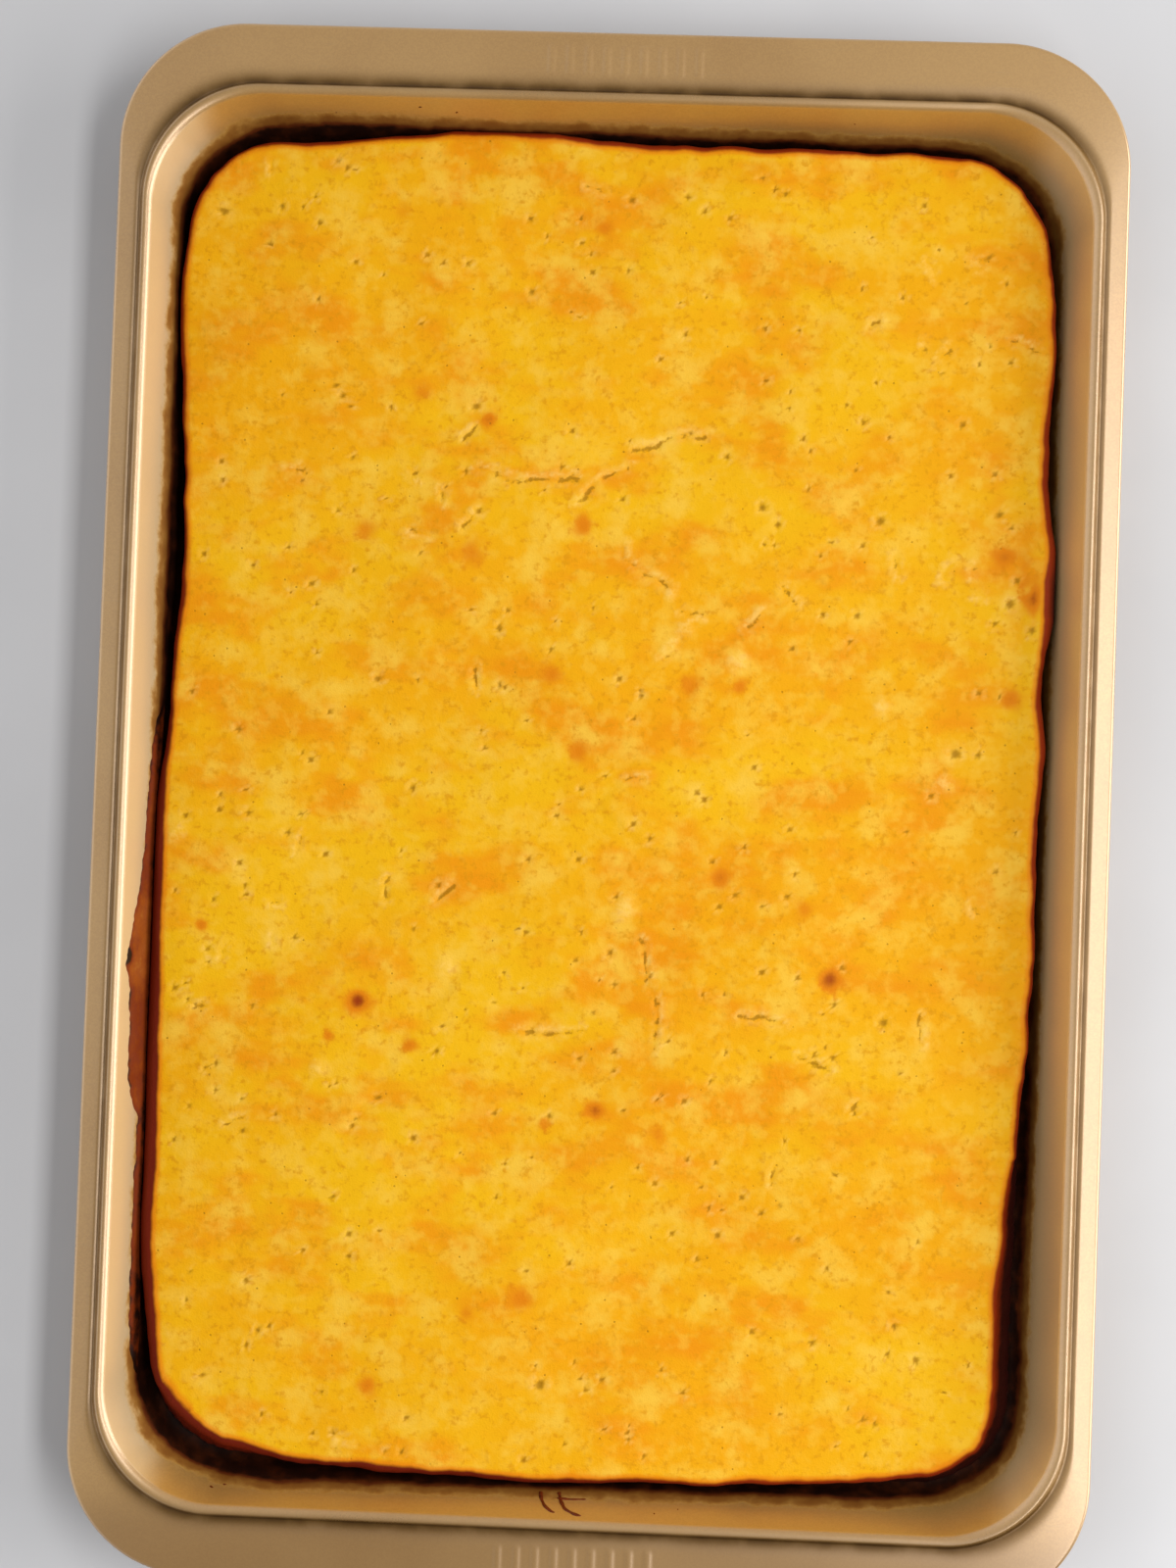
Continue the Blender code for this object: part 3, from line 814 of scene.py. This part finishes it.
def bake_pancake():
    """The pancake: a square grid laid over its top, rows down its rounded edge, and a base.

    A grid point lies on a square ring round the middle, as far out as the larger of its
    two numbers says, and goes to the same part of the way to the outline. Its way round
    the ring picks the outline's column, and the rows down the edge keep those columns:
    first round the edge by a quarter turn, then down the side, which is a little porous.
    """
    u, v = np.meshgrid(np.linspace(-1, 1, GRID_X), np.linspace(-1, 1, GRID_Y), indexing="ij")
    u, v = u.ravel(), v.ravel()
    out = np.maximum(np.abs(u), np.abs(v))
    share_u, share_v = u / out, v / out
    way_round = np.select(
        [share_v >= 1, share_u <= -1, share_v <= -1],
        [(1 - share_u) / 2, 1 + (1 - share_v) / 2, 2 + (1 + share_u) / 2],
        3 + (1 + share_v) / 2,
    )
    lap = columns_round_edge(way_round)
    _, round_off, edge_x, edge_y = shoulder_at(lap)
    x = out * (edge_x - round_off * lap[2])
    y = out * (edge_y - round_off * lap[3])
    half = np.where(np.abs(share_v) >= 1, OPENING_LENGTH / 2, OPENING_WIDTH / 2)
    inside = round_off + (1 - out) * half
    free = smooth_step((1 - out) / 0.03)
    for pit_x, pit_y, _ in all_pits:
        drawn_x, drawn_y = draw_together(x, y, pit_x, pit_y, reach=3.2 * MM, pull=0.6)
        x, y = x + (drawn_x - x) * free, y + (drawn_y - y) * free
    for line in all_wrinkles:
        near_x, near_y, _ = nearest_on_line(x, y, line)
        drawn_x, drawn_y = draw_together(x, y, near_x, near_y, reach=2.6 * MM, pull=0.55)
        x, y = x + (drawn_x - x) * free, y + (drawn_y - y) * free
    raised, shows = lay_marks(x, y)
    z = smooth_top(x, y) + raised * free

    index = np.arange(GRID_X * GRID_Y).reshape(GRID_X, GRID_Y)
    rim = np.concatenate([index[:0:-1, -1], index[0, :0:-1], index[:-1, 0], index[-1, :-1]])
    lap = lap[:, rim]
    gap, round_off, edge_x, edge_y = shoulder_at(lap)
    turn = np.radians(np.linspace(90, 0, 9))[1:, None]
    inset = round_off * (1 - np.cos(turn))
    round_x, round_y = edge_x - inset * lap[2], edge_y - inset * lap[3]
    round_z = PANCAKE_EDGE + (smooth_top(round_x, round_y) - PANCAKE_EDGE) * np.sin(turn)

    level = np.array([0.86, 0.68, 0.48, 0.26, 0.0])[:, None]
    side_z = PANCAKE_BASE + (PANCAKE_EDGE - PANCAKE_BASE) * level + 0 * edge_x
    side_gap = TOUCH_GAP + (gap - TOUCH_GAP) * level
    porous = np.abs(soft_noise(edge_x + 3 * side_z, edge_y + 2 * side_z, 2.5 * MM, 62))
    side_gap = side_gap + 0.9 * MM * porous * level * (1 - level) * 4 * (gap > 2 * MM)
    wall_x, wall_y = along_opening(lap, wall_outset(side_z))
    side_x, side_y = wall_x - side_gap * lap[2], wall_y - side_gap * lap[3]

    x = np.concatenate([x, round_x.ravel(), side_x.ravel(), [0.0]])
    y = np.concatenate([y, round_y.ravel(), side_y.ravel(), [0.0]])
    z = np.concatenate([z, round_z.ravel(), side_z.ravel(), [PANCAKE_BASE]])
    square = np.stack([index[:-1, :-1], index[1:, :-1], index[1:, 1:], index[:-1, 1:]], axis=-1)
    columns = rim.size
    rows = turn.size + level.size
    bands = np.arange(rows * columns).reshape(rows, columns) + index.size
    rings = np.concatenate([rim[None], bands]).ravel()
    middle = index.size + bands.size
    pancake = raise_piece(
        "pancake_body",
        np.stack([x, y, z], axis=-1),
        square.reshape(-1, 4),
        rings[ring_faces(rows + 1, columns)],
        fan_faces(middle, bands[-1][::-1]),
    )
    below_edge = (side_z - PANCAKE_EDGE).ravel()
    depth = np.concatenate([inside, inset.ravel(), below_edge, [-PANCAKE_EDGE]])
    depth -= browned_reach(x, y)
    keep_values(pancake, "inside_edge", depth / MM)
    for name, values in shows.items():
        keep_values(pancake, name, np.append(values * free, np.zeros(bands.size + 1)))
    return pancake


def mix_crust():
    """The pancake's skin: golden, in clouds of paler and deeper colour, browned at its edge.

    Bubbles, pores and wrinkles are painted olive-brown inside, as painted shade in the
    hollows, and blisters, lips and the rings round bubbles pale, partly paler skin and partly
    painted highlight. The edge goes through amber to red-brown, and the side below it to
    nearly black, as painted shade in the gap by the wall, but only to red-brown at the near
    left, where it stands close to the wall and the lighter colour makes up for the shade there.
    """
    finish, tree, shader, place = start_finish("golden_crust")
    stretched = add_node(tree, "ShaderNodeMapping", {"Vector": place, "Scale": (0.6, 1.15, 1.0)})
    stretched = stretched.outputs[0]
    broad = between(tree, noise(tree, stretched, 55 * MM, 3.0, 0.55), 0.36, 0.66)
    patch = between(tree, noise(tree, stretched, 18 * MM, 3.0, 0.55), 0.44, 0.70)
    light = between(tree, noise(tree, place, 13 * MM, 4.0, 0.58), 0.47, 0.72)
    small = noise(tree, place, 2.4 * MM, 3.0, 0.6)
    grain = noise(tree, place, 0.6 * MM, 2.0)

    colour = blend_colours(tree, broad, (0.79, 0.42, 0.003), (0.78, 0.345, 0.001))
    colour = blend_colours(tree, reckon(tree, "MULTIPLY", patch, 0.9), colour, (0.76, 0.26, 0.001))
    colour = blend_colours(tree, reckon(tree, "MULTIPLY", light, 0.85), colour, (0.81, 0.48, 0.045))
    speck = between(tree, small, 0.52, 0.72, 0.0, 0.65)
    colour = blend_colours(tree, speck, colour, (0.62, 0.25, 0.001))
    fleck = between(tree, noise(tree, place, 5 * MM, 2.0, 0.5), 0.5, 0.30, 0.0, 0.35)
    colour = blend_colours(tree, fleck, colour, (0.82, 0.49, 0.045))

    # Blisters, wrinkle lips and rings round bubbles are painted pale: partly paler skin, partly
    # painted highlight
    pale = between(tree, small, 0.35, 0.65, 0.15, 0.75)
    pale = reckon(tree, "MULTIPLY", read_value(tree, "pale"), pale)
    colour = blend_colours(tree, pale, colour, (0.93, 0.62, 0.16))
    browned = reckon(tree, "ADD", read_value(tree, "browned"), reckon(tree, "MULTIPLY", speck, 0.12))
    colour = blend_colours(tree, between(tree, browned, 0.04, 0.45), colour, (0.68, 0.205, 0.001))
    colour = blend_colours(tree, between(tree, browned, 0.4, 1.0), colour, (0.28, 0.035, 0.001))

    # Bubbles, pores and wrinkles are painted dark olive-brown inside: painted shade in the hollows
    pores = add_node(tree, "ShaderNodeTexVoronoi", {"Vector": place, "Scale": 1 / (3.4 * MM)})
    chance = add_node(tree, "ShaderNodeSeparateColor", {0: pores.outputs["Color"]}).outputs[0]
    pore = between(tree, pores.outputs["Distance"], 0.13, 0.06)
    pore = reckon(tree, "MULTIPLY", pore, reckon(tree, "GREATER_THAN", chance, 0.80))
    torn = reckon(tree, "SUBTRACT", noise(tree, place, 0.9 * MM, 3.0, 0.6), 0.5)
    torn = reckon(tree, "MULTIPLY", torn, 1.1)
    hole = reckon(tree, "MAXIMUM", read_value(tree, "pit"), reckon(tree, "MULTIPLY", pore, 0.7))
    hole = reckon(tree, "ADD", hole, reckon(tree, "MULTIPLY", torn, 0.45))
    hole = between(tree, hole, 0.08, 1.0, 0.0, 0.8)
    crease = reckon(tree, "ADD", read_value(tree, "wrinkle"), torn)
    crease = between(tree, crease, 0.3, 0.8, 0.0, 0.75)
    colour = blend_colours(tree, reckon(tree, "MAXIMUM", hole, crease), colour, (0.32, 0.145, 0.002))

    wander = reckon(tree, "SUBTRACT", noise(tree, place, 26 * MM, 4.0, 0.6), 0.5)
    wander = reckon(tree, "MULTIPLY", wander, 3.2)
    depth = reckon(tree, "ADD", read_value(tree, "inside_edge"), wander)
    split = add_node(tree, "ShaderNodeSeparateXYZ", {0: place}).outputs
    slant = reckon(tree, "ADD", reckon(tree, "MULTIPLY", split["Y"], 0.6), split["X"])
    # The browned side is painted nearly black as painted shade in the gap by the wall, and lighter
    # red-brown at the near left, where the lighter colour makes up for the shade there
    apart = between(tree, slant, -150 * MM, -60 * MM)
    rim = blend_colours(tree, apart, (0.14, 0.011, 0.002), (0.25, 0.024, 0.002))
    side = blend_colours(tree, apart, (0.16, 0.014, 0.002), (0.03, 0.004, 0.002))
    amber = between(tree, depth, 3.4, 1.7, 0.0, 0.75)
    colour = blend_colours(tree, amber, colour, (0.72, 0.20, 0.002))
    colour = blend_colours(tree, between(tree, depth, 2.0, 0.7), colour, rim)
    colour = blend_colours(tree, between(tree, depth, 0.6, -3.0), colour, side)

    relief = reckon(tree, "MULTIPLY", small, 0.5)
    relief = reckon(tree, "ADD", relief, reckon(tree, "MULTIPLY", grain, 0.22))
    relief = reckon(tree, "SUBTRACT", relief, reckon(tree, "MULTIPLY", pore, 0.5))
    bump = add_node(tree, "ShaderNodeBump", {"Strength": 0.55, "Distance": 0.5 * MM, "Height": relief})
    gloss = between(tree, small, 0.3, 0.7, 0.5, 0.66)
    tree.links.new(colour, shader.inputs["Base Color"])
    tree.links.new(gloss, shader.inputs["Roughness"])
    tree.links.new(bump.outputs[0], shader.inputs["Normal"])
    shader.inputs["Specular IOR Level"].default_value = 0.1
    return finish


all_pits = np.concatenate([np.array(PITS) * MM, scatter_pits(SCATTERED_PITS, 71)])
all_wrinkles = [*WRINKLES, *scatter_wrinkles(SCATTERED_WRINKLES, 73)]
pancake_body = bake_pancake()
pancake_body.data.materials.append(mix_crust())
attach(pancake_body, "root")
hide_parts("pancake")

# ------------------------------------------------- the batter on the walls
# Batter climbed the left wall as the pancake rose, and baked on as a thin film with a
# dark, ragged tide line when it sank back. Threads of it ran up the near wall, and a few
# spatters sit on both end walls.
FILM_FOOT = 8.0 * MM
FILM_ROWS, FILM_COLUMNS = 28, 520
FILM_THICKNESS = 0.22 * MM
FILM_GAP = 0.03 * MM
FILM_SINK = 0.02 * MM

# The tide line at the film's top: Y and height, in millimetres
FILM_TOP = (
    (-178, 8.6), (-170, 12.6), (-160, 13.6), (-126, 14.0), (-116, 13.7), (-99, 13.3),
    (-92, 17.2), (-87, 19.0), (-67, 19.4), (-60, 20.0), (-53, 21.9), (-49, 21.7),
    (-43, 20.6), (-30, 17.2), (-16, 15.2), (2, 14.5), (16, 13.2), (22, 12.0), (27, 8.6),
)

# The blob near the tide line's highest place, and the short stretch of thinner film there
BLOB_Y, BLOB_HEIGHT = -50 * MM, 21.2 * MM
THIN_FROM, THIN_TO = -52 * MM, -40 * MM

# Threads on the near wall: half width, then X and height along each, in millimetres
THREADS = (
    (0.55, ((-10.5, 11.8), (-10.2, 15.0), (-9.0, 18.5), (-6.8, 21.2), (-5.4, 21.6))),
    (0.55, ((-5.0, 11.8), (-4.2, 16.0), (-2.8, 19.8), (0.6, 22.2), (2.6, 22.6))),
    (0.44, ((-5.6, 14.6), (-1.5, 15.0), (3.6, 14.6))),
)
THREAD_FLATNESS = 0.55

# Spatters: X, 1 for the far wall or -1 for the near one, height and width, in millimetres
SPATTERS = (
    (-110, -1, 16.5, 1.7), (-106, -1, 15.0, 0.9), (-62, 1, 20.5, 0.8), (-51, 1, 18.5, 0.7),
    (-88, 1, 17.0, 0.5), (24, -1, 20.0, 0.6), (31, -1, 17.5, 0.5), (70, 1, 18.0, 0.5),
)
SPATTER_FLATNESS = 0.3
DRIED_THICKNESS = 0.85


def film_on_wall():
    """The film: a grid up the wall and along it, its thickness growing in from all its edges.

    The tide line's height is drawn through a few places and made ragged by soft noise. The
    film is thicker along that line, low down and in the blob, and thinner for a stretch.
    The outer face stands off the steel by the thickness, and the inner one reaches just
    into it.
    """
    table = np.array(FILM_TOP) * MM
    y = np.linspace(table[0, 0], table[-1, 0], FILM_COLUMNS)
    flat = np.zeros_like(y)
    ragged = 0.5 * soft_noise(flat, y, 3.2 * MM, 81) + 0.3 * soft_noise(flat, y, 1.2 * MM, 82)
    top = np.interp(y, table[:, 0], table[:, 1]) + ragged * MM
    part = smooth_step(np.linspace(0, 1, FILM_ROWS))[:, None]
    z = FILM_FOOT + (top - FILM_FOOT) * part
    y = y + 0 * z
    ends = np.minimum(y - y[:, :1], y[:, -1:] - y)
    from_top = (1 - part) * np.maximum(top - FILM_FOOT, 1 * MM)
    tide = np.exp(-((from_top / (1.1 * MM)) ** 2))
    low = smooth_step((13.2 * MM - z) / (3 * MM))
    uneven = 0.5 + 0.5 * soft_noise(y, z, 3.5 * MM, 83)
    solid = smooth_step((THIN_FROM - y) / (12 * MM)) + smooth_step((y - THIN_TO) / (12 * MM))
    off_y, off_z = (y - BLOB_Y) / (2.2 * MM), (z - BLOB_HEIGHT) / (1.5 * MM)
    blob = np.exp(-(off_y**2) - off_z**2)
    amount = 0.3 + 0.25 * uneven + 0.22 * tide + 0.25 * low + 0.24 * solid + 0.9 * blob
    amount = np.clip(amount, 0, 1.1)
    body = np.clip(from_top / (1.4 * MM), 0, 1) * np.clip(part / 0.1, 0, 1)
    body = body * np.clip(ends / MM, 0, 1)
    stands = FILM_GAP + FILM_THICKNESS * (0.25 + 0.75 * amount) * body
    wall_x = -(OPENING_WIDTH / 2 + wall_outset(z))
    outer = np.stack([wall_x + stands, y, z], axis=-1).reshape(-1, 3)
    inner = np.stack([wall_x - FILM_SINK, y, z], axis=-1).reshape(-1, 3)
    index = np.arange(z.size).reshape(z.shape)
    square = np.stack([index[:-1, :-1], index[:-1, 1:], index[1:, 1:], index[1:, :-1]], axis=-1)
    square = square.reshape(-1, 4)
    ring = np.concatenate([index[0, :-1], index[:-1, -1], index[-1, :0:-1], index[:0:-1, 0]])
    after = np.roll(ring, -1)
    film = raise_piece(
        "baked_film",
        np.concatenate([outer, inner]),
        square,
        square[:, ::-1] + z.size,
        np.stack([ring + z.size, after + z.size, after, ring], axis=-1),
    )
    keep_values(film, "thickness", np.concatenate([amount.ravel(), amount.ravel()]))
    return film


def wall_place(x, z, end):
    """A place on an end wall's inner face, at a width and a height; the end is 1 or -1."""
    return np.stack([x, end * (OPENING_LENGTH / 2 + wall_outset(z)), z], axis=-1)


def thread_on_wall(half_width, line):
    """One thread: a flattened tube carried along a line up the near wall.

    The line's points are joined and rounded off by a running mean of seven. The tube's
    size wavers with soft noise and closes as a square root over the thread's last eighth.
    """
    route = np.array(line) * MM
    run = np.concatenate([[0], np.cumsum(np.hypot(*np.diff(route, axis=0).T))])
    along = np.linspace(0, run[-1], 40)
    mean = np.ones(7) / 7
    x, z = (
        np.convolve(np.pad(np.interp(along, run, places), 3, mode="edge"), mean, "valid")
        for places in route.T
    )
    middle = wall_place(x, z, -1)
    ahead = np.gradient(middle, axis=0)
    ahead /= np.linalg.norm(ahead, axis=1, keepdims=True)
    out = np.array([0.0, math.cos(LEAN_ANGLE), math.sin(LEAN_ANGLE)])
    side = np.cross(ahead, out)
    out = np.cross(side, ahead)
    closing = np.sqrt(np.clip((1 - along / run[-1]) / 0.12, 0, 1))
    size = half_width * MM * (1 + 0.35 * soft_noise(x, z, 1.6 * MM, 91)) * closing
    size = np.maximum(size, 0.02 * MM)[:, None, None]
    turn = np.linspace(0, 2 * math.pi, 13)[:-1][:, None]
    around = np.cos(turn) * side[:, None] + THREAD_FLATNESS * np.sin(turn) * out[:, None]
    tube = middle[:, None] + size * around
    return tube, tube[[0, -1]].mean(axis=1)


def spatter_on_wall(number, x, end, z, width):
    """One spatter: a flattened ball, half of it in the wall, and its two poles.

    Its outline is a circle with two waves and three waves added round it, which start at
    a different place for each spatter's number.
    """
    turn = np.linspace(0, 2 * math.pi, 19)[:-1]
    rise = np.radians(np.linspace(-90, 90, 9))[1:-1, None]
    lobes = 1 + 0.22 * np.sin(2 * turn + number) + 0.14 * np.sin(3 * turn + 2 * number)
    middle = wall_place(np.array(x * MM), np.array(z * MM), end)
    side = np.array([-end, 0, 0])
    out = np.array([0.0, -end * math.cos(LEAN_ANGLE), math.sin(LEAN_ANGLE)])
    up = np.array([0.0, end * math.sin(LEAN_ANGLE), math.cos(LEAN_ANGLE)])
    flat_x, flat_up = np.cos(rise) * np.cos(turn) * lobes, np.cos(rise) * np.sin(turn) * lobes
    dome = np.sin(rise) * SPATTER_FLATNESS + 0 * turn
    ball = flat_x[..., None] * side + flat_up[..., None] * up + dome[..., None] * out
    radius = width * MM / 2
    poles = middle + radius * SPATTER_FLATNESS * np.array([[-1], [1]]) * out
    return middle + radius * ball, poles


def dry_batter():
    """The threads and spatters as one piece, each of rings closed at both ends by a fan."""
    shapes = [thread_on_wall(*thread) for thread in THREADS]
    shapes += [spatter_on_wall(number, *spatter) for number, spatter in enumerate(SPATTERS)]
    points, faces, caps, start = [], [], [], 0
    for rings, ends in shapes:
        rows, columns, _ = rings.shape
        points.extend([rings.reshape(-1, 3), ends])
        ring = np.arange(columns) + start
        middle = start + rows * columns
        faces.append(ring_faces(rows, columns) + start)
        caps.append(fan_faces(middle, ring))
        caps.append(fan_faces(middle + 1, ring[::-1] + (rows - 1) * columns))
        start = middle + len(ends)
    piece = raise_piece("dried_batter", np.concatenate(points), *faces, *caps)
    keep_values(piece, "thickness", np.full(start, DRIED_THICKNESS))
    return piece


def mix_film(name, patch_size):
    """Batter baked on to the steel, its colour from how thick it lies."""
    finish, tree, shader, _ = start_finish(name)
    inputs = {"Thickness": read_value(tree, "thickness"), "Patch Size": patch_size, "Redness": 1.0}
    batter = place_group(tree, baked_batter, inputs)
    bump = add_node(
        tree, "ShaderNodeBump", {"Strength": 0.4, "Distance": 0.15 * MM, "Height": batter["Relief"]}
    )
    tree.links.new(batter["Colour"], shader.inputs["Base Color"])
    tree.links.new(batter["Roughness"], shader.inputs["Roughness"])
    tree.links.new(bump.outputs[0], shader.inputs["Normal"])
    shader.inputs["Specular IOR Level"].default_value = 0.2
    return finish


for piece, patch_size in ((film_on_wall(), 2.5 * MM), (dry_batter(), 1.2 * MM)):
    piece.data.materials.append(mix_film(f"{piece.name}_finish", patch_size))
    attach(piece, "root")

# ---------------------------------------------------- the table and the light
# A plain pale table under the pan, a large soft window to the right, a long skylight high
# on the same side, and the light that the room gives back, from the left and the far end.
TABLE_SIZE = 3.0
TABLE_GAP = 0.1 * MM


def lay_table():
    """A flat pale table top, a little below the pan's floor so that the two don't meet."""
    half = TABLE_SIZE / 2
    corners = np.array([[-half, -half], [half, -half], [half, half], [-half, half]])
    points = np.concatenate([corners, np.full((4, 1), -TABLE_GAP)], axis=1)
    table = raise_piece("table", points, np.arange(4)[None])
    finish, tree, shader, place = start_finish("pale_table")
    cloud = between(tree, noise(tree, place, 180 * MM, 4.0), 0.35, 0.7)
    colour = blend_colours(tree, cloud, (0.575, 0.572, 0.58), (0.635, 0.632, 0.64))
    tree.links.new(colour, shader.inputs["Base Color"])
    shader.inputs["Roughness"].default_value = 0.5
    table.data.materials.append(finish)


def hang_light(name, place, target, size, power, colour):
    """A soft rectangular light that faces a target; its size is its width, then its height."""
    lamp = bpy.data.lights.new(name, "AREA")
    lamp.shape = "RECTANGLE"
    lamp.size, lamp.size_y = size
    lamp.energy = power
    lamp.color = colour
    light = bpy.data.objects.new(name, lamp)
    light.location = place
    facing = Vector(target) - Vector(place)
    light.rotation_euler = facing.to_track_quat("-Z", "Y").to_euler()
    bpy.context.scene.collection.objects.link(light)


lay_table()
hang_light(
    "window",
    place=(1.9, 0.0, 0.62),
    target=(0.0, 0.0, 0.0),
    size=(2.0, 1.2),
    power=47.0,
    colour=(1.0, 0.99, 0.98),
)
hang_light(
    "skylight",
    place=(0.55, -0.22, 1.05),
    target=(0.15, -0.22, 0.0),
    size=(1.3, 0.26),
    power=8.3,
    colour=(1.0, 1.0, 1.0),
)
world = bpy.data.worlds.new("room")
world.use_nodes = True
tree = world.node_tree
facing = add_node(tree, "ShaderNodeTexCoord").outputs["Generated"]
facing = add_node(tree, "ShaderNodeSeparateXYZ", {0: facing}).outputs
from_left = between(tree, facing["X"], 0.0, -1.0, 0.08, 1.36)
from_far = between(tree, facing["Y"], -0.2, 1.0, 0.0, 0.45)
tree.links.new(reckon(tree, "ADD", from_left, from_far), tree.nodes["Background"].inputs["Strength"])
tree.nodes["Background"].inputs["Color"].default_value = (0.98, 0.985, 1.0, 1.0)
bpy.context.scene.world = world
bpy.context.scene.view_settings.view_transform = "Standard"

# The camera looks straight down, from a little to the right and towards the near end
camera = bpy.data.objects.new("camera", bpy.data.cameras.new("camera"))
camera.location = (0.02696, -0.01792, 0.89208)
camera.rotation_euler = (0.02962, 0.03401, 0.03597)
camera.data.lens = 66.5
camera.data.sensor_width = 36.0
bpy.context.scene.collection.objects.link(camera)
bpy.context.scene.camera = camera
